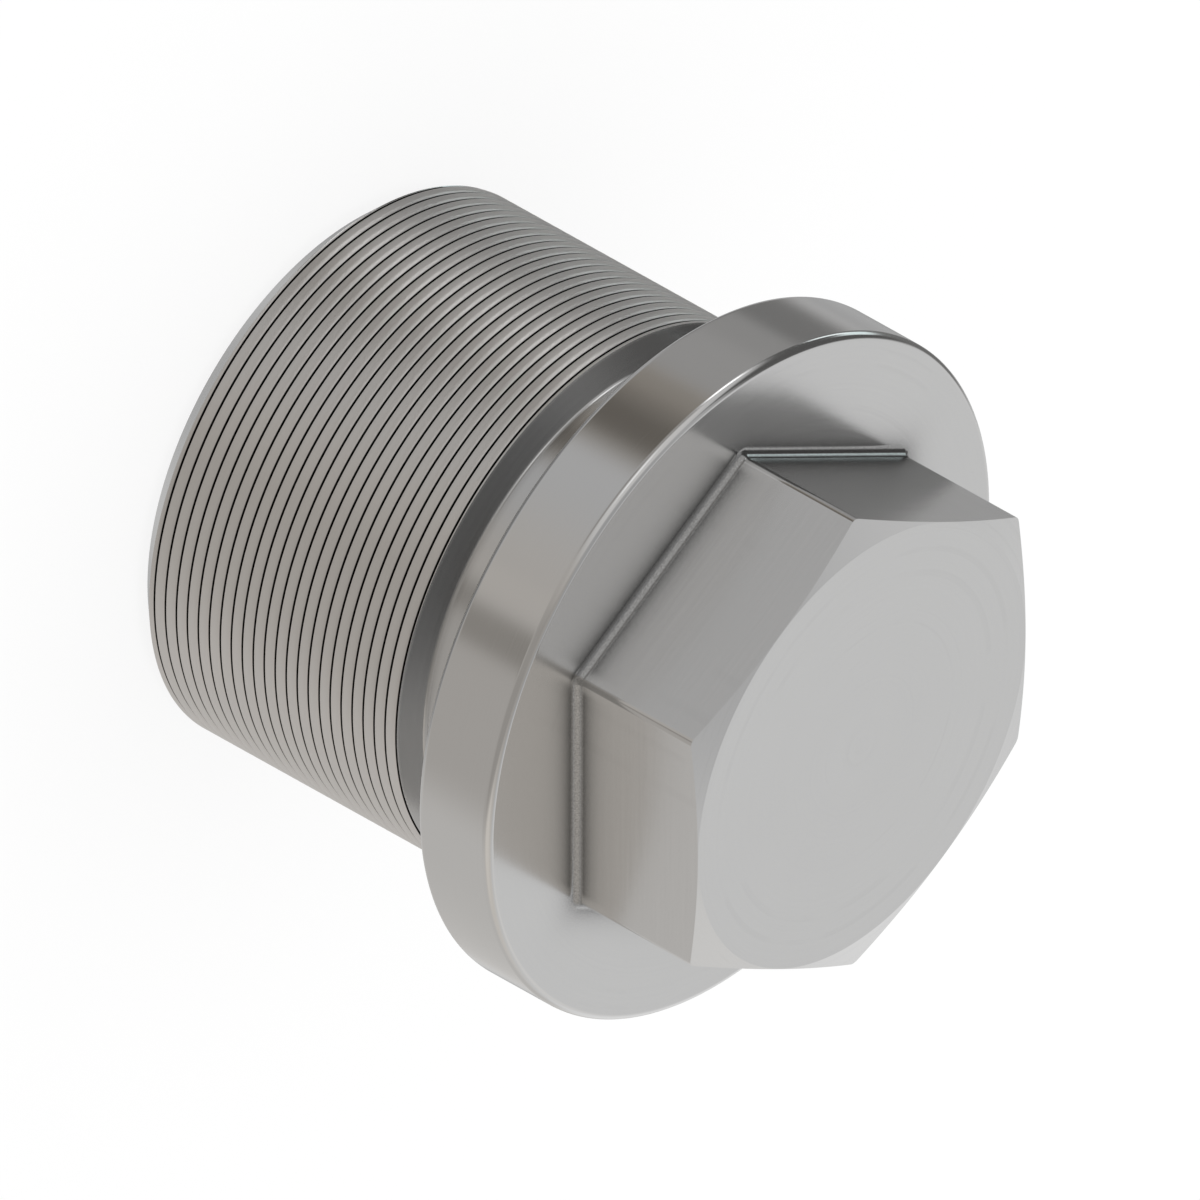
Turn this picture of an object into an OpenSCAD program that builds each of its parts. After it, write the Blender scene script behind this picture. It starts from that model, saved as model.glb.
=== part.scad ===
// Threaded plug: a hexagon head on a round flange, with a plain neck and a fine thread below.
// It stands on the flat end of its thread, centred on the origin, and +Z runs up to the head.

/* [Head] */
// Width of the hexagon across its flats
across_flats = 50; // [36:0.5:62]
// Height of the hexagon above the flange
head_h = 16.6; // [6:0.1:30]
// Radius of the hexagon's upright edges
edge_r = 1; // [0.3:0.1:4]
// Slope of the turned chamfer, measured from the head's flat face
chamfer_slope = 15; // [5:1:30]
// Distance by which the round face stops short of the flats
face_setback = 0.05; // [0.02:0.01:2]
// Radius of the fillet where the hexagon meets the flange
root_r = 1; // [0.3:0.1:3]

/* [Flange] */
// Diameter of the flange
flange_d = 77; // [70:0.5:110]
// Thickness of the flange
flange_t = 9.8; // [3:0.1:20]
// Radius of the flange's two outer edges
rim_r = 0.9; // [0.2:0.1:1.4]

/* [Neck] */
// Diameter of the plain neck
neck_d = 57; // [40:0.5:60]
// Length of the neck, from the flange to the thread's shoulder
neck_l = 7.8; // [2:0.1:20]
// Radius of the fillets at both ends of the neck
neck_r = 0.6; // [0.2:0.1:0.9]

/* [Thread] */
// Diameter over the crests of the thread
thread_d = 62; // [58:0.5:66]
// Length of the thread, from its shoulder to the end face
thread_l = 37.5; // [12:0.5:80]
// Slope of the shoulder between the neck and the crests, measured from the axis
shoulder_slope = 57; // [30:1:80]
// Width of the chamfer on the end of the thread
end_chamfer = 2.1; // [0.5:0.1:4]

/* [Hidden] */
$fn = 128;

SIDES = 6;
SIDE_ANGLE = 360 / SIDES;

// How far a fillet bites into the wall beside it
bite = 0.002;
// The root fillet opens out by this factor where it turns a corner
CORNER_SWELL = 1.1;

// Heights up the axis
shoulder_z = thread_l;
flange_z = shoulder_z + neck_l;
head_z = flange_z + flange_t;

// Radii about the axis
neck_radius = neck_d / 2;
crest_radius = thread_d / 2;
face_radius = across_flats / 2 - face_setback;
corner_radius = across_flats / 2 / cos(SIDE_ANGLE / 2);

shoulder_h = (crest_radius - neck_radius) / tan(shoulder_slope);
chamfer_h = (corner_radius - face_radius) * tan(chamfer_slope);

// Section of a fillet at the foot of a wall that stands on the Y axis.
// The floor leaves the foot at the given angle from the wall's line carried on downwards.
module fillet_section(r, floor_angle) {
    reach = r * tan(floor_angle / 2);
    difference() {
        polygon([[0, 0], [0, reach], [r, reach], reach * [sin(floor_angle), -cos(floor_angle)]]);
        translate([r, reach])
            circle(r);
    }
}

// Centre of the round on one corner of the hexagon, for a corner numbered from 0
function round_centre(i) =
    (across_flats / 2 - edge_r) / cos(SIDE_ANGLE / 2) * [cos(SIDE_ANGLE * i), sin(SIDE_ANGLE * i)];

// Hexagon with rounded corners and two of its flats square to Y
module rounded_hexagon() {
    polygon([
        for (i = [0 : SIDES - 1], turn = [-0.5, 0.5])
            let (a = SIDE_ANGLE * (i + turn))
            round_centre(i) + edge_r * [cos(a), sin(a)]
    ]);
    for (i = [0 : SIDES - 1])
        translate(round_centre(i))
            circle(edge_r);
}

// Section of the fillet at the foot of the hexagon, let a hair into the wall so that the two join cleanly
module root_section(r) {
    translate([-bite, 0])
        fillet_section(r, 90);
}

// Fillet around the foot of the hexagon: a straight run on each flat and a turn around each corner
module root_fillet() {
    run = norm(round_centre(1) - round_centre(0));
    for (i = [0 : SIDES - 1]) {
        rotate([90, 0, SIDE_ANGLE * (i + 0.5)])
            translate([across_flats / 2, 0, -run / 2])
                linear_extrude(run)
                    root_section(root_r);
        translate(round_centre(i))
            rotate(SIDE_ANGLE * i + 180)
                rotate_extrude()
                    translate([edge_r, 0])
                        root_section(root_r * CORNER_SWELL);
    }
}

// Hexagon cut from a bar whose end is turned to a flat face and a shallow cone
module head() {
    intersection() {
        linear_extrude(head_h)
            rounded_hexagon();
        rotate_extrude()
            polygon([
                [0, 0],
                [corner_radius, 0],
                [corner_radius, head_h - chamfer_h],
                [face_radius, head_h],
                [0, head_h]
            ]);
    }
    root_fillet();
}

// Disc with both of its outer edges rounded
module flange() {
    rotate_extrude() {
        square([flange_d / 2 - rim_r, flange_t]);
        translate([0, rim_r])
            square([flange_d / 2, flange_t - 2 * rim_r]);
        for (z = [rim_r, flange_t - rim_r])
            translate([flange_d / 2 - rim_r, z])
                circle(rim_r);
    }
}

// Neck and thread, the thread drawn as the plain cylinder over its crests
module shank() {
    rotate_extrude() {
        polygon([
            [0, 0],
            [crest_radius - end_chamfer, 0],
            [crest_radius, end_chamfer],
            [crest_radius, shoulder_z - shoulder_h],
            [neck_radius, shoulder_z],
            [neck_radius, flange_z],
            [0, flange_z]
        ]);
        translate([neck_radius, shoulder_z])
            fillet_section(neck_r, shoulder_slope);
        translate([neck_radius, flange_z])
            mirror([0, 1])
                fillet_section(neck_r, 90);
    }
}

module plug() {
    color([0.66, 0.65, 0.63]) {
        shank();
        translate([0, 0, flange_z])
            flange();
        translate([0, 0, head_z])
            head();
    }
}

plug();
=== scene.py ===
import math

import bmesh
import bpy
from mathutils import Matrix, Vector


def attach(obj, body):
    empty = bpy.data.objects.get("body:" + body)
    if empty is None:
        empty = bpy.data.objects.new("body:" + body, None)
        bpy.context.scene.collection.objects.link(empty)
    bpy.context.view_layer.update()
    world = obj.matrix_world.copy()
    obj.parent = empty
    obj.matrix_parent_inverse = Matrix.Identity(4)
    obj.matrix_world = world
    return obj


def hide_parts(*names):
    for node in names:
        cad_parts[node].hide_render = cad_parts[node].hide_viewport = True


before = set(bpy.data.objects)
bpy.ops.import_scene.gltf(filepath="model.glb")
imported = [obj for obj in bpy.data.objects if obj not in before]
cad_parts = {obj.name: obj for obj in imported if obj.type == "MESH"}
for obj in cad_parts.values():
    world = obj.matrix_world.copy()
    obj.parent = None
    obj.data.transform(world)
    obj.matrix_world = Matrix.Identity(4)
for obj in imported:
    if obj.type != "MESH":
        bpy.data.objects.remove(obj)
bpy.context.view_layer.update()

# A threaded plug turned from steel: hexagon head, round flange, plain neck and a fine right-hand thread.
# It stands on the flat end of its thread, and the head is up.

MM = 0.001

# Head
HEAD_TOP = 71.7 * MM
ACROSS_FLATS = 50 * MM
EDGE_R = 1 * MM
ROOT_R = 1 * MM
CHAMFER_SLOPE = math.radians(15)
FACE_R = 24.95 * MM
HEAD_ALLOWANCE = 1.5 * MM
HEXAGON_SIDES = 6
EDGE_POINTS = 9
BLANK_R = 45 * MM

# How far the hexagon reaches at its rounded edges
CORNER_R = (ACROSS_FLATS / 2 - EDGE_R) / math.cos(math.pi / HEXAGON_SIDES) + EDGE_R

# Flange
FLANGE_R = 38.5 * MM
FLANGE_BACK = 45.3 * MM
FLANGE_FRONT = 55.1 * MM
RIM_R = 0.9 * MM

# Neck and shoulder
NECK_R = 28.5 * MM
NECK_FILLET_R = 0.6 * MM
SHOULDER_TOP = 37.5 * MM
SHOULDER_SLOPE = math.radians(57)

# Thread
CREST_R = 31 * MM
END_CHAMFER = 2.1 * MM
PITCH = 1.5 * MM
LAST_GROOVE_Z = 35.6 * MM
TURNING_ALLOWANCE = 0.3 * MM

# Steps round a turned surface and along a small round
ROUND_SIDES = 256
FILLET_STEPS = 8

# How close two heights count as the same and two vertices as one, and the turn up to which faces
# shade softly
SAME_PLACE = 0.001 * MM
DOUBLED = 0.0005 * MM
SMOOTH_ANGLE = math.radians(13)

# The camera's bearing about the plug's axis, its height and its roll, and what it frames
CAMERA_BEARING = math.radians(-76.55)
CAMERA_RISE = math.radians(31.53)
CAMERA_ROLL = math.radians(29.079)
PICTURE_SIDE = 1200
PICTURE_WIDTH = 122.11 * MM
FACE_CENTRE_PIXEL = (861.3, 745.1)


# Tools for shaping

def deselect_all():
    if bpy.context.object and bpy.context.object.mode != "OBJECT":
        bpy.ops.object.mode_set(mode="OBJECT")
    bpy.ops.object.select_all(action="DESELECT")


def pick_vertices(wanted):
    """Selects the vertices of the mesh being edited whose place passes the test."""
    mesh = bmesh.from_edit_mesh(bpy.context.object.data)
    bpy.ops.mesh.select_all(action="DESELECT")
    bpy.ops.mesh.select_mode(type="VERT")
    for vertex in mesh.verts:
        if wanted(vertex.co):
            vertex.select_set(True)
    mesh.select_flush_mode()
    bmesh.update_edit_mesh(bpy.context.object.data)


def pick_faces(wanted):
    """Selects the faces of the mesh being edited whose middle passes the test."""
    mesh = bmesh.from_edit_mesh(bpy.context.object.data)
    bpy.ops.mesh.select_all(action="DESELECT")
    bpy.ops.mesh.select_mode(type="FACE")
    for face in mesh.faces:
        if wanted(face.calc_center_median()):
            face.select_set(True)
    bmesh.update_edit_mesh(bpy.context.object.data)


def clean_mesh():
    """Merges doubled vertices and turns every face outwards."""
    bpy.ops.mesh.select_all(action="SELECT")
    bpy.ops.mesh.remove_doubles(threshold=DOUBLED)
    bpy.ops.mesh.normals_make_consistent(inside=False)


def seal_mesh():
    """Clears loose edges, and fills any hole that a merge left where a face lost its shape."""
    bpy.ops.mesh.select_all(action="SELECT")
    bpy.ops.mesh.delete_loose()
    bpy.ops.mesh.select_all(action="SELECT")
    bpy.ops.mesh.fill_holes(sides=0)
    bpy.ops.mesh.normals_make_consistent(inside=False)


def round_points(centre, radius, start, end, steps=FILLET_STEPS):
    """Points (r, z) along a small round in the section, from one angle to another."""
    turns = [start + (end - start) * step / steps for step in range(steps + 1)]
    return [(centre[0] + radius * math.cos(turn), centre[1] + radius * math.sin(turn)) for turn in turns]


def turn_up(outline, name):
    """Turns a solid on its axis: a disc at the outline's first point, then a ring at each of the rest."""
    deselect_all()
    radius, height = outline[0]
    bpy.ops.mesh.primitive_circle_add(
        vertices=ROUND_SIDES, radius=radius, fill_type="NGON", location=(0, 0, height))
    solid = bpy.context.object
    solid.name = name
    bpy.ops.object.transform_apply(location=True)
    bpy.ops.object.mode_set(mode="EDIT")
    bpy.ops.mesh.select_mode(type="FACE")
    bpy.ops.mesh.select_all(action="SELECT")
    for next_radius, next_height in outline[1:]:
        bpy.ops.mesh.extrude_region_move(
            TRANSFORM_OT_translate={"value": (0, 0, next_height - height)})
        size = next_radius / radius
        bpy.ops.transform.resize(value=(size, size, 1), center_override=(0, 0, next_height))
        radius, height = next_radius, next_height
    clean_mesh()
    bpy.ops.object.mode_set(mode="OBJECT")
    return solid


def cut(piece, tool, operation):
    """Cuts a piece with a tool, or keeps only what the two share, and puts the tool away."""
    deselect_all()
    bpy.context.view_layer.objects.active = piece
    piece.select_set(True)
    cutting = piece.modifiers.new("cut", "BOOLEAN")
    cutting.operation = operation
    cutting.object = tool
    cutting.solver = "MANIFOLD"
    bpy.ops.object.modifier_apply(modifier=cutting.name)
    bpy.data.objects.remove(tool)


# The plug

def turned_outline():
    """The section (r, z) from the end of the thread up to the front of the flange.
    It is left a little thick where the thread is cut down to its crests."""
    blank_r = CREST_R + TURNING_ALLOWANCE
    shoulder_foot = SHOULDER_TOP - (blank_r - NECK_R) / math.tan(SHOULDER_SLOPE)
    reach = NECK_FILLET_R * math.tan(SHOULDER_SLOPE / 2)
    fillet_r = NECK_R + NECK_FILLET_R
    rim_centre_r = FLANGE_R - RIM_R
    half_turn, quarter_turn = math.pi, math.pi / 2
    return [
        (CREST_R - END_CHAMFER, 0),
        (blank_r, END_CHAMFER + TURNING_ALLOWANCE),
        (blank_r, shoulder_foot),
        *round_points(
            (fillet_r, SHOULDER_TOP + reach), NECK_FILLET_R, half_turn + SHOULDER_SLOPE, half_turn),
        *round_points(
            (fillet_r, FLANGE_BACK - NECK_FILLET_R), NECK_FILLET_R, half_turn, quarter_turn),
        *round_points((rim_centre_r, FLANGE_BACK + RIM_R), RIM_R, -quarter_turn, 0),
        *round_points((rim_centre_r, FLANGE_FRONT - RIM_R), RIM_R, 0, quarter_turn),
    ]


def hexagon_corners():
    """The centres of the rounds on the hexagon's six upright edges."""
    reach = CORNER_R - EDGE_R
    turns = [2 * math.pi * corner / HEXAGON_SIDES for corner in range(HEXAGON_SIDES)]
    return [Vector((reach * math.cos(turn), reach * math.sin(turn), 0)) for turn in turns]


def nearest_corner(place, corners):
    flat = Vector((place.x, place.y, 0))
    return min(range(HEXAGON_SIDES), key=lambda corner: (flat - corners[corner]).length)


def make_hexagon():
    """Pulls a small round apart into a hexagon with rounded edges, draws it up, and opens its foot out."""
    corners = hexagon_corners()
    round_count = HEXAGON_SIDES * EDGE_POINTS
    half_step = math.pi / round_count
    deselect_all()
    bpy.ops.mesh.primitive_circle_add(
        vertices=round_count, radius=EDGE_R / math.cos(half_step), fill_type="NGON",
        location=(0, 0, FLANGE_FRONT + ROOT_R), rotation=(0, 0, half_step))
    hexagon = bpy.context.object
    bpy.ops.object.transform_apply(location=True, rotation=True)
    bpy.ops.object.mode_set(mode="EDIT")
    for corner, centre in enumerate(corners):
        pick_vertices(
            lambda place: place.xy.length < 2 * EDGE_R
            and place.xy.normalized().dot(centre.xy.normalized()) > math.cos(math.pi / HEXAGON_SIDES))
        bpy.ops.transform.translate(value=centre)
    bpy.ops.mesh.select_all(action="SELECT")
    bpy.ops.mesh.extrude_region_move(
        TRANSFORM_OT_translate={"value": (0, 0, HEAD_TOP + HEAD_ALLOWANCE - FLANGE_FRONT - ROOT_R)})
    clean_mesh()
    foot_height = FLANGE_FRONT + ROOT_R
    pick_faces(lambda place: abs(place.z - foot_height) < SAME_PLACE)
    spread = EDGE_R
    for step in range(1, FILLET_STEPS + 1):
        turn = math.pi / 2 * step / FILLET_STEPS
        next_height = FLANGE_FRONT + ROOT_R * (1 - math.sin(turn))
        next_spread = EDGE_R + ROOT_R * (1 - math.cos(turn))
        bpy.ops.mesh.extrude_region_move(
            TRANSFORM_OT_translate={"value": (0, 0, next_height - foot_height)})
        size = next_spread / spread
        for corner, centre in enumerate(corners):
            pick_vertices(
                lambda place: abs(place.z - next_height) < SAME_PLACE
                and nearest_corner(place, corners) == corner)
            bpy.ops.transform.resize(
                value=(size, size, 1), center_override=(centre.x, centre.y, next_height))
        pick_faces(lambda place: abs(place.z - next_height) < SAME_PLACE)
        foot_height, spread = next_height, next_spread
    bpy.ops.mesh.delete(type="ONLY_FACE")
    bpy.ops.object.mode_set(mode="OBJECT")
    return hexagon


def join_head(body, hexagon):
    """Sets the hexagon on the flange: the flange's front is opened, and the two rings are bridged."""
    deselect_all()
    bpy.context.view_layer.objects.active = body
    bpy.ops.object.mode_set(mode="EDIT")
    pick_faces(lambda place: place.z > FLANGE_FRONT - SAME_PLACE and place.xy.length < RIM_R)
    bpy.ops.mesh.delete(type="ONLY_FACE")
    deselect_all()
    hexagon.select_set(True)
    body.select_set(True)
    bpy.context.view_layer.objects.active = body
    bpy.ops.object.join()
    bpy.ops.object.mode_set(mode="EDIT")
    bpy.ops.mesh.select_mode(type="EDGE")
    bpy.ops.mesh.select_all(action="DESELECT")
    bpy.ops.mesh.select_non_manifold()
    bpy.ops.mesh.bridge_edge_loops()
    clean_mesh()
    bpy.ops.object.mode_set(mode="OBJECT")


def head_blank():
    """The turned bar that the head is cut to: a flat face and a shallow cone round it."""
    cone_foot = HEAD_TOP - (BLANK_R - FACE_R) * math.tan(CHAMFER_SLOPE)
    return turn_up([(BLANK_R, -PITCH), (BLANK_R, cone_foot), (FACE_R, HEAD_TOP)], "blank")


# One pitch of the thread, from the middle of a land up to the middle of the next: the height above the
# groove's middle, and the depth below the crests. The groove is narrow, and the land below it is eased
# towards the groove.
GROOVE_DEPTH = 0.5 * MM
THREAD_SECTION = [
    (-PITCH / 2, 0),
    (-0.65 * MM, 0),
    (-0.5 * MM, 0.015 * MM),
    (-0.35 * MM, 0.052 * MM),
    (-0.24 * MM, 0.1 * MM),
    (-0.18 * MM, 0.145 * MM),
    (-0.175 * MM, GROOVE_DEPTH),
    (0.095 * MM, GROOVE_DEPTH),
    (0.105 * MM, 0.05 * MM),
    (0.15 * MM, 0.015 * MM),
    (0.25 * MM, 0),
    (PITCH / 2, 0),
]


def draw_line(points):
    """Draws a line through points (x, z), from a plane merged to one vertex and drawn on from there."""
    deselect_all()
    bpy.ops.mesh.primitive_plane_add(size=MM)
    bpy.ops.object.mode_set(mode="EDIT")
    bpy.ops.mesh.select_mode(type="VERT")
    bpy.ops.mesh.select_all(action="SELECT")
    bpy.ops.mesh.merge(type="CENTER")
    place = Vector((0, 0, 0))
    for number, (x, z) in enumerate(points):
        step = Vector((x, 0, z)) - place
        if number:
            bpy.ops.mesh.extrude_region_move(TRANSFORM_OT_translate={"value": step})
        else:
            bpy.ops.transform.translate(value=step)
        place = Vector((x, 0, z))
    bpy.ops.object.mode_set(mode="OBJECT")
    return bpy.context.object


def pick_open_edges(wanted):
    """Selects the open edges of the mesh being edited whose middle passes the test."""
    mesh = bmesh.from_edit_mesh(bpy.context.object.data)
    bpy.ops.mesh.select_all(action="DESELECT")
    bpy.ops.mesh.select_mode(type="EDGE")
    for edge in mesh.edges:
        if edge.is_boundary and wanted((edge.verts[0].co + edge.verts[1].co) / 2):
            edge.select_set(True)
    bmesh.update_edit_mesh(bpy.context.object.data)


def thread_die():
    """What the thread is cut with: the thread's own section swept up a right-hand screw line, closed to a
    point below the plug, and opened out above the shoulder so that it clears the rest."""
    start = LAST_GROOVE_Z - CAMERA_BEARING / (2 * math.pi) * PITCH
    turns = math.ceil(start / PITCH) + 2
    start -= (turns - 1) * PITCH
    die = draw_line([(CREST_R - depth, start + rise) for rise, depth in THREAD_SECTION])
    sweep = die.modifiers.new("sweep", "SCREW")
    sweep.axis = "Z"
    sweep.angle = 2 * math.pi
    sweep.screw_offset = PITCH
    sweep.iterations = turns
    sweep.steps = ROUND_SIDES
    sweep.render_steps = ROUND_SIDES
    bpy.ops.object.modifier_apply(modifier=sweep.name)
    bpy.ops.object.mode_set(mode="EDIT")
    clean_mesh()
    middle = SHOULDER_TOP / 2
    opened = 1.6
    pick_open_edges(lambda place: place.z < middle)
    bpy.ops.mesh.extrude_region_move()
    bpy.ops.transform.resize(value=(0, 0, 0), center_override=(0, 0, start - 2 * PITCH))
    pick_open_edges(lambda place: place.z > middle)
    bpy.ops.mesh.extrude_region_move()
    bpy.ops.transform.resize(value=(opened, opened, 1), center_override=(0, 0, 0))
    bpy.ops.mesh.extrude_region_move()
    bpy.ops.transform.resize(value=(0, 0, 0), center_override=(0, 0, 2 * HEAD_TOP))
    clean_mesh()
    bpy.ops.object.mode_set(mode="OBJECT")
    return die


def smooth(piece):
    """Rounds shade softly, and each flat stays flat right up to its edge."""
    deselect_all()
    bpy.context.view_layer.objects.active = piece
    piece.select_set(True)
    bpy.ops.object.shade_smooth_by_angle(angle=SMOOTH_ANGLE)
    flats = piece.modifiers.new("flats", "WEIGHTED_NORMAL")
    flats.mode = "FACE_AREA"
    flats.weight = 50
    flats.keep_sharp = True
    bpy.ops.object.modifier_apply(modifier=flats.name)


def make_plug():
    plug = turn_up(turned_outline(), "turned_plug")
    join_head(plug, make_hexagon())
    cut(plug, head_blank(), "INTERSECT")
    cut(plug, thread_die(), "INTERSECT")
    deselect_all()
    bpy.context.view_layer.objects.active = plug
    bpy.ops.object.mode_set(mode="EDIT")
    clean_mesh()
    seal_mesh()
    bpy.ops.object.mode_set(mode="OBJECT")
    smooth(plug)
    return plug


# Finishes

class Value:
    """A number or a vector in a material that plain Python sums work on."""

    def __init__(self, tree, socket):
        self.tree = tree
        self.socket = socket

    def sum(self, operation, first, second):
        node = self.tree.nodes.new("ShaderNodeMath")
        node.operation = operation
        for socket, term in zip(node.inputs, (first, second)):
            if isinstance(term, Value):
                self.tree.links.new(term.socket, socket)
            else:
                socket.default_value = term
        return Value(self.tree, node.outputs[0])

    def __add__(self, other):
        return self.sum("ADD", self, other)

    def __sub__(self, other):
        return self.sum("SUBTRACT", self, other)

    def __rsub__(self, other):
        return self.sum("SUBTRACT", other, self)

    def __mul__(self, other):
        return self.sum("MULTIPLY", self, other)

    def __truediv__(self, other):
        return self.sum("DIVIDE", self, other)

    def __abs__(self):
        return self.sum("ABSOLUTE", self, 0)

    __radd__ = __add__
    __rmul__ = __mul__


class Finish:
    """The node tree of one material, or of the world."""

    def __init__(self, tree):
        self.tree = tree
        tree.nodes.clear()

    def node(self, kind, settings=None, sockets=None, output=0):
        """Adds a node, makes its settings, fills its sockets with values or links, and gives one output."""
        node = self.tree.nodes.new(kind)
        for name, setting in (settings or {}).items():
            setattr(node, name, setting)
        for name, value in (sockets or {}).items():
            if isinstance(value, Value):
                self.tree.links.new(value.socket, node.inputs[name])
            else:
                node.inputs[name].default_value = value
        if not node.outputs:
            return None
        return Value(self.tree, node.outputs[output])


# How much light the steel gives back, and its tint, which is warmer on the thread
STEEL = 0.63
STEEL_TINT = (1, 0.998, 0.994)
THREAD_TINT = (1.045, 1.018, 0.995)

# How far the painted shade at the hexagon's foot reaches, and how softly it turns the corners
SHADE_REACH = 1.2 * MM
SHADE_CORNER = 4 * MM

# Where the painted shade in the recess behind the thread begins, and how deep in the groove the painted
# shade turns the steel dark
RECESS_START = 33 * MM
DARK_FROM = 0.1 * MM
DARK_AT = 0.155 * MM

# How fine the grain of the steel is, and how fine its cloudy patches are
GRAIN_SCALE = 6500
CLOUD_SCALE = 60


def new_finish(name):
    material = bpy.data.materials.new(name)
    material.use_nodes = True
    return material, Finish(material.node_tree)


def fade(finish, value, full, none):
    """1 where the value is at the full mark, falling softly to 0 at the other."""
    return finish.node(
        "ShaderNodeMapRange", {"interpolation_type": "SMOOTHSTEP"},
        {"Value": value, "From Min": none, "From Max": full, "To Min": 0, "To Max": 1})


def larger(finish, first, second):
    return finish.node("ShaderNodeMath", {"operation": "MAXIMUM"}, {0: first, 1: second})


def painted_corner_shade(finish, x, y, z, radius):
    """Painted shade at the foot of the hexagon, where the corner lies in shade: darkest at the edges of the
    root fillet, and fading away from it. The painted shade is left off the hexagon's upright edges."""
    half_side = math.pi / HEXAGON_SIDES
    lean_x, lean_y = math.cos(half_side), math.sin(half_side)
    soft_corner = {"operation": "SMOOTH_MAX"}
    sides = finish.node("ShaderNodeMath", soft_corner, {
        0: abs(x * lean_x + y * lean_y), 1: abs(x * lean_x - y * lean_y), 2: SHADE_CORNER})
    out = finish.node("ShaderNodeMath", soft_corner, {0: abs(y), 1: sides, 2: SHADE_CORNER})
    away = larger(finish, out - ACROSS_FLATS / 2, z - FLANGE_FRONT)
    beyond = larger(finish, away - ROOT_R, 0) / SHADE_REACH
    beside = finish.node("ShaderNodeMath", {"operation": "POWER"}, {0: 1 / math.e, 1: beyond})
    edges = fade(finish, radius, CORNER_R - 0.2 * MM, CORNER_R - 0.7 * MM) \
        * fade(finish, z, FLANGE_FRONT + ROOT_R, FLANGE_FRONT + 0.7 * ROOT_R)
    return beside * (1 - edges) * fade(finish, z, FLANGE_FRONT - 0.1 * MM, FLANGE_FRONT - 0.5 * MM)


def painted_recess_shade(finish, radius, z):
    """Painted shade in the recess between the thread and the flange, where it lies in shade: mostly on the
    shoulder.
    """
    recess = fade(finish, radius, CREST_R - 0.3 * MM, CREST_R) \
        * fade(finish, z, RECESS_START + MM, RECESS_START) * fade(finish, z, FLANGE_BACK, FLANGE_FRONT)
    return recess * (0.08 + 0.2 * fade(finish, z, SHOULDER_TOP - 0.3 * MM, SHOULDER_TOP + 1.2 * MM))


def worn_rings(finish, radius, patch):
    """Faint darker rings here and there, where the turning tool dwelt."""
    ring = finish.node(
        "ShaderNodeTexNoise", {"noise_dimensions": "1D"},
        {"W": radius, "Scale": 700, "Detail": 3, "Roughness": 0.7})
    return fade(finish, ring, 0.62, 0.54) * fade(finish, patch, 0.56, 0.48) * 0.02


def steel(name, cut_by, marks_scale, marks_depth, roughness, streaks=0.04, tint=STEEL_TINT):
    """Bare steel. The marks of the tool follow the radius and height, or lie along a milled flat."""
    material, finish = new_finish(name)
    place = finish.node("ShaderNodeTexCoord", output="Object")
    axes = finish.node("ShaderNodeSeparateXYZ", sockets={0: place})
    x, y, z = (Value(finish.tree, socket) for socket in axes.socket.node.outputs)
    radius = finish.node("ShaderNodeMath", {"operation": "SQRT"}, {0: x * x + y * y})
    if cut_by == "milling":
        pattern = finish.node("ShaderNodeCombineXYZ", sockets={"X": x * 0.03, "Y": y * 0.03, "Z": z})
    else:
        pattern = finish.node("ShaderNodeCombineXYZ", sockets={"X": radius, "Y": z})
    marks = finish.node(
        "ShaderNodeTexNoise",
        sockets={"Vector": pattern, "Scale": marks_scale, "Detail": 3, "Roughness": 0.6})
    grain = finish.node(
        "ShaderNodeTexNoise",
        sockets={"Vector": place, "Scale": GRAIN_SCALE, "Detail": 2, "Roughness": 0.7})
    cloud = finish.node(
        "ShaderNodeTexNoise",
        sockets={"Vector": place, "Scale": CLOUD_SCALE, "Detail": 4, "Roughness": 0.55})
    if cut_by == "threading":
        grit = 14
        # Painted shade deep in the thread's groove
        shade = fade(finish, radius, CREST_R - DARK_AT, CREST_R - DARK_FROM) * 0.98
    else:
        grit = 0.5
        # Painted shade at the hexagon's foot and in the recess behind the thread, with faint tool rings
        # added
        shade = painted_corner_shade(finish, x, y, z, radius) * (0.18 + grain * 0.6) \
            + painted_recess_shade(finish, radius, z) + worn_rings(finish, radius, cloud)
    bump = finish.node(
        "ShaderNodeBump", sockets={"Strength": 1, "Distance": marks_depth, "Height": marks + grain * grit})
    level = (1 - shade) * (1 + (cloud - 0.5) * 0.04 + (marks - 0.5) * streaks) * STEEL
    colour = finish.node("ShaderNodeVectorMath", {"operation": "SCALE"}, {0: tint, "Scale": level})
    surface = finish.node(
        "ShaderNodeBsdfPrincipled",
        sockets={
            "Base Color": colour,
            "Metallic": 1,
            "Roughness": roughness + (marks - 0.5) * 0.08 + (cloud - 0.5) * 0.06,
            "Normal": bump,
        })
    finish.node("ShaderNodeOutputMaterial", sockets={"Surface": surface})
    return material


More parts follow.
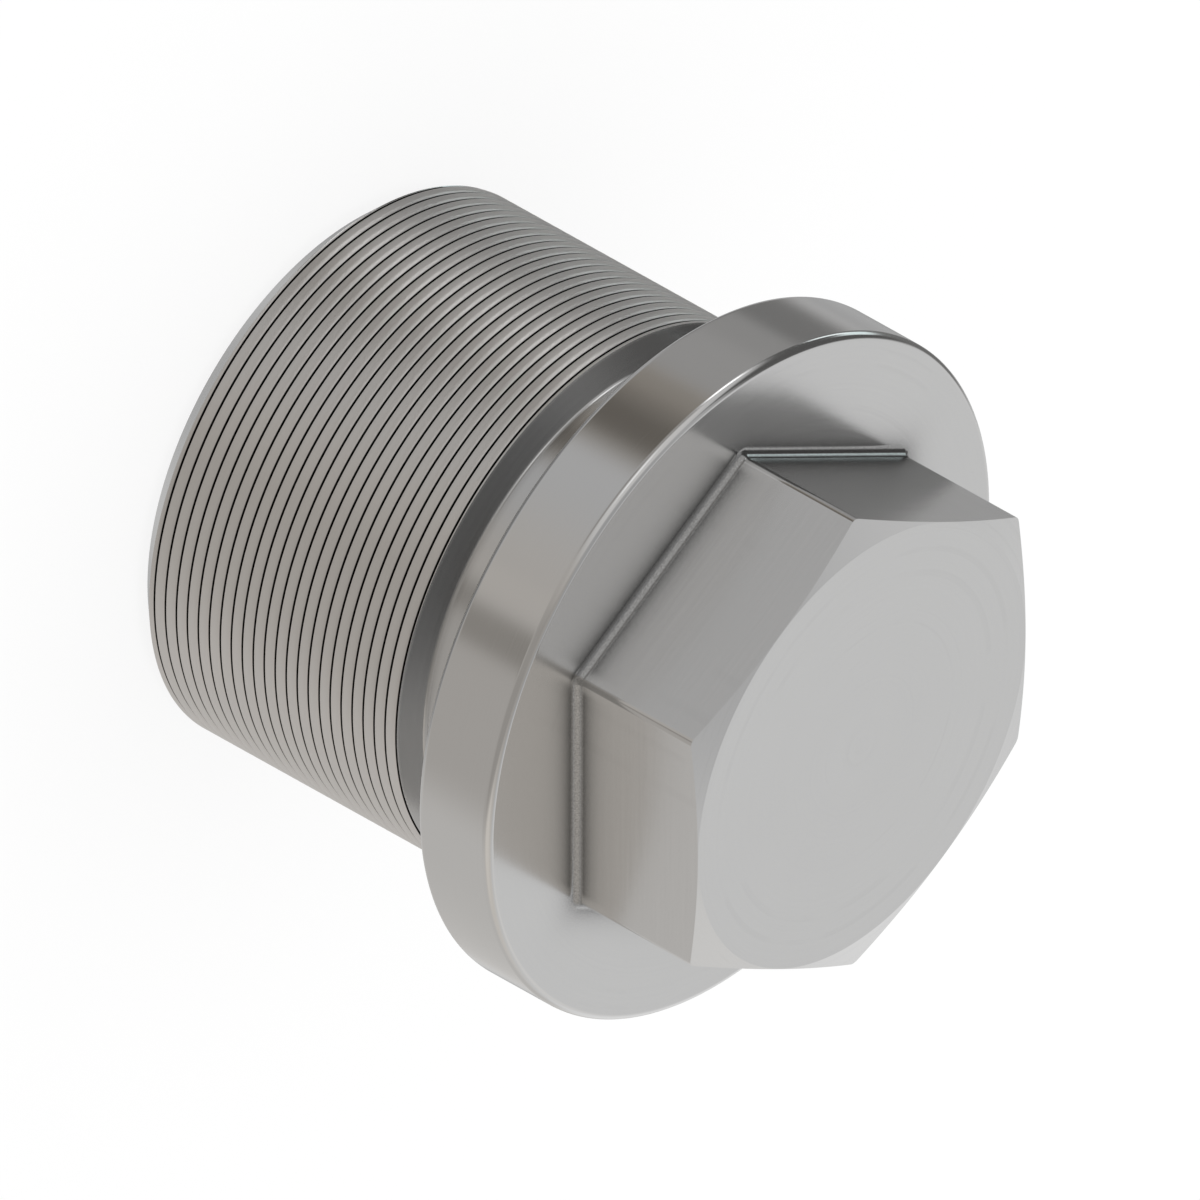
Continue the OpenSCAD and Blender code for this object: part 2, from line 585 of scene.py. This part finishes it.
def dress(plug):
    """Gives each face of the plug the finish of the tool that cut it."""
    plug.data.materials.clear()
    fine, coarse, coarsest = 0.001 * MM, 0.0015 * MM, 0.002 * MM
    for material in (
        steel("turned_steel", "turning", marks_scale=4000, marks_depth=coarse, roughness=0.2),
        steel("milled_steel", "milling", marks_scale=2500, marks_depth=fine, roughness=0.24, streaks=0.09),
        steel(
            "threaded_steel", "threading", marks_scale=5000, marks_depth=coarsest, roughness=0.37,
            tint=THREAD_TINT),
        steel("polished_steel", "turning", marks_scale=4000, marks_depth=fine, roughness=0.14),
    ):
        plug.data.materials.append(material)
    turned, milled, threaded, polished = 0, 1, 2, 3
    for face in plug.data.polygons:
        height = face.center.z
        reach = face.center.xy.length
        upright = abs(face.normal.z) < 0.02
        bearing = math.atan2(face.normal.y, face.normal.x)
        on_edge = abs(math.cos(bearing * HEXAGON_SIDES / 2)) > 0.1
        in_root = FLANGE_FRONT < height < FLANGE_FRONT + ROOT_R
        by_thread = CREST_R - 1.2 * GROOVE_DEPTH < reach < 1.001 * CREST_R
        if height > FLANGE_FRONT + ROOT_R and upright:
            face.material_index = polished if on_edge else milled
        elif by_thread and END_CHAMFER < height < LAST_GROOVE_Z + PITCH / 2:
            face.material_index = threaded
        elif in_root or reach > FLANGE_R - RIM_R:
            face.material_index = polished
        else:
            face.material_index = turned


# The studio

FLOOR_SIDE = 4
FLOOR_WHITENESS = 0.85
CAMERA_DISTANCE = 0.5


def floor_finish():
    """A white sheet with the plug's soft shadow on it. The steel mirrors the room instead of the sheet."""
    material, finish = new_finish("white_sheet")
    camera = finish.node("ShaderNodeLightPath", output="Is Camera Ray")
    glossy = Value(finish.tree, camera.socket.node.outputs["Is Glossy Ray"])
    through = Value(finish.tree, camera.socket.node.outputs["Is Transmission Ray"])
    lit = finish.node("ShaderNodeBsdfDiffuse", sockets={"Color": (0.97, 0.97, 0.97, 1)})
    glow = finish.node("ShaderNodeEmission", sockets={"Color": (1, 1, 1, 1), "Strength": 1.0})
    sheet = finish.node("ShaderNodeMixShader", sockets={
        0: (camera + through) * FLOOR_WHITENESS, 1: lit, 2: glow})
    clear = finish.node("ShaderNodeBsdfTransparent")
    surface = finish.node("ShaderNodeMixShader", sockets={0: glossy, 1: sheet, 2: clear})
    finish.node("ShaderNodeOutputMaterial", sockets={"Surface": surface})
    return material


def make_floor():
    deselect_all()
    bpy.ops.mesh.primitive_plane_add(size=FLOOR_SIDE, location=(0, 0, 0))
    floor = bpy.context.object
    floor.name = "floor_sheet"
    floor.data.materials.append(floor_finish())


# The room's level of light midway round it, how much dimmer it is towards the camera, and its level
# overhead and underfoot.
ROOM_LEVEL = 0.67
ROOM_SLOPE = 0.15
OVERHEAD = 0.46
UNDERFOOT = 0.25
WARM_LIGHT = (1.11, 0.985, 0.83, 1)
COOL_LIGHT = (0.6, 1.04, 1.06, 1)

# What stands round the room, as the steel mirrors it: the middle and the half size of each board or lamp,
# in degrees round from the camera and up from level, the softness of its edge, its level of light (a board
# without one only tints the room), and how warm it is.
ROOM_BOARDS = [
    ((60, 45), (55, 70), 35, None, 0.4),
    ((42, 25), (22, 35), 22, 0.4, 0.4),
    ((52, -31), (26, 15), 29, 0.5, 0.35),
    ((93, 31), (9, 9), 13, 0.78, 0.45),
    ((124, -25), (30, 18), 24, 0.65, 0.2),
    ((-160, -34), (8, 10), 12, 0.46, 0),
    ((-119, 14), (24, 36), 12, 0.12, 0.1),
    ((-148, -8), (10, 14), 10, 0.2, 0.1),
    ((-125, -36), (6, 10), 20, 0.23, 0.1),
    ((-90, -36), (12, 8), 12, 0.4, 0.1),
    ((-106, -36), (3, 10), 8, 0.36, 0.1),
    ((-45, 36), (18, 14), 26, 0.76, 0.1),
    ((-38, -4), (22, 5), 10, 0.36, 0.3),
    ((-67, -32), (4, 7), 8, 0.31, 0.7),
    ((-53, -32), (3, 6), 14, 0.15, 0.8),
    ((25, -31), (3, 14), 6, 0.31, 0.5),
    ((11, -31), (3, 14), 5, 0.56, 0.4),
    ((166, 4), (8, 10), 14, 0.98, 0),
    ((180, -31), (4, 10), 12, 0.45, 0),
    ((-180, -31), (4, 10), 12, 0.35, 0),
    ((-126, -2), (4, 10), 5, 1.2, -0.3),
    ((-117, -12), (6, 3), 4, 1.6, -0.2),
    ((-75, -6), (4, 5), 6, 2.2, 0),
    ((-38, 24), (4, 4), 8, 1.2, 0),
    ((160, 34), (5, 6), 12, 0.87, 0.1),
]


def room_light(finish, bearing, rise, around):
    """The level and the warmth of the pale room: dimmer towards the camera, brighter beyond the plug."""
    level = ROOM_LEVEL - around * ROOM_SLOPE
    level = level + fade(finish, rise, 75, 45) * (OVERHEAD - level)
    level = level + fade(finish, rise, -75, -45) * (UNDERFOOT - level)
    warmth = 0
    for middle, half_size, edge, tone, tone_warmth in ROOM_BOARDS:
        board = fade(finish, abs(bearing - middle[0]), half_size[0], half_size[0] + edge) \
            * fade(finish, abs(rise - middle[1]), half_size[1], half_size[1] + edge)
        if tone is not None:
            level = level + board * (tone - level)
        warmth = warmth + board * (tone_warmth - warmth)
    return level, warmth


def light_room():
    """A plain white room, in which the steel sees soft boards and lamps, some a little warm or cool."""
    world = bpy.data.worlds.new("studio")
    bpy.context.scene.world = world
    world.use_nodes = True
    world.cycles.sampling_method = "NONE"
    finish = Finish(world.node_tree)
    direction = finish.node("ShaderNodeTexCoord", output="Generated")
    axes = finish.node("ShaderNodeSeparateXYZ", sockets={0: direction})
    x, y, up = (Value(finish.tree, socket) for socket in axes.socket.node.outputs)
    around = x * math.cos(CAMERA_BEARING) + y * math.sin(CAMERA_BEARING)
    across = y * math.cos(CAMERA_BEARING) - x * math.sin(CAMERA_BEARING)
    degrees = 180 / math.pi
    bearing = finish.node("ShaderNodeMath", {"operation": "ARCTAN2"}, {0: across, 1: around}) * degrees
    rise = finish.node("ShaderNodeMath", {"operation": "ARCSINE"}, {0: up}) * degrees
    glossy = finish.node("ShaderNodeLightPath", output="Is Glossy Ray")
    mirrored, warmth = room_light(finish, bearing, rise, around)
    warm = finish.node(
        "ShaderNodeMix", {"data_type": "RGBA"},
        {"Factor": warmth, "A": (1, 1, 1, 1), "B": WARM_LIGHT}, output="Result")
    colour = finish.node(
        "ShaderNodeMix", {"data_type": "RGBA"},
        {"Factor": warmth * -1, "A": warm, "B": COOL_LIGHT}, output="Result")
    white = finish.node("ShaderNodeBackground", sockets={"Color": (1, 1, 1, 1), "Strength": 1})
    room = finish.node("ShaderNodeBackground", sockets={"Color": colour, "Strength": mirrored})
    sky = finish.node("ShaderNodeMixShader", sockets={0: glossy, 1: white, 2: room})
    finish.node("ShaderNodeOutputWorld", sockets={"Surface": sky})


def soft_light(name, place, size, power):
    """A square soft lamp that points at the middle of the plug."""
    deselect_all()
    aim = Vector((0, 0, HEAD_TOP / 2)) - Vector(place)
    bpy.ops.object.light_add(type="AREA", location=place, rotation=aim.to_track_quat("-Z", "Y").to_euler())
    lamp = bpy.context.object
    lamp.name = name
    lamp.data.shape = "SQUARE"
    lamp.data.size = size
    lamp.data.energy = power
    lamp.visible_glossy = False


def set_camera():
    """A camera with parallel rays, set so that the head's face lands where the photograph has it."""
    around = Vector((math.cos(CAMERA_BEARING), math.sin(CAMERA_BEARING), 0))
    axis = Vector((0, 0, 1))
    back = math.sin(CAMERA_RISE) * axis + math.cos(CAMERA_RISE) * around
    along = math.cos(CAMERA_RISE) * axis - math.sin(CAMERA_RISE) * around
    across = axis.cross(around)
    right = math.cos(CAMERA_ROLL) * along - math.sin(CAMERA_ROLL) * across
    up = -math.sin(CAMERA_ROLL) * along - math.cos(CAMERA_ROLL) * across
    pixel = PICTURE_WIDTH / PICTURE_SIDE
    middle = (PICTURE_SIDE - 1) / 2
    shift_right = (FACE_CENTRE_PIXEL[0] - middle) * pixel
    shift_down = (FACE_CENTRE_PIXEL[1] - middle) * pixel
    place = HEAD_TOP * axis - shift_right * right + shift_down * up + CAMERA_DISTANCE * back
    bpy.ops.object.camera_add(location=place)
    camera = bpy.context.object
    camera.rotation_euler = Matrix((right, up, back)).transposed().to_euler()
    camera.data.type = "ORTHO"
    camera.data.ortho_scale = PICTURE_WIDTH
    camera.data.clip_start = 0.01
    camera.data.clip_end = 10
    bpy.context.scene.camera = camera


def set_studio():
    make_floor()
    light_room()
    soft_light("top_light", place=(0.05, -0.1, 0.9), size=0.8, power=1)
    set_camera()
    bpy.context.scene.view_settings.view_transform = "Standard"


plug = make_plug()
dress(plug)
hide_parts("plug")
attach(plug, "root")
set_studio()
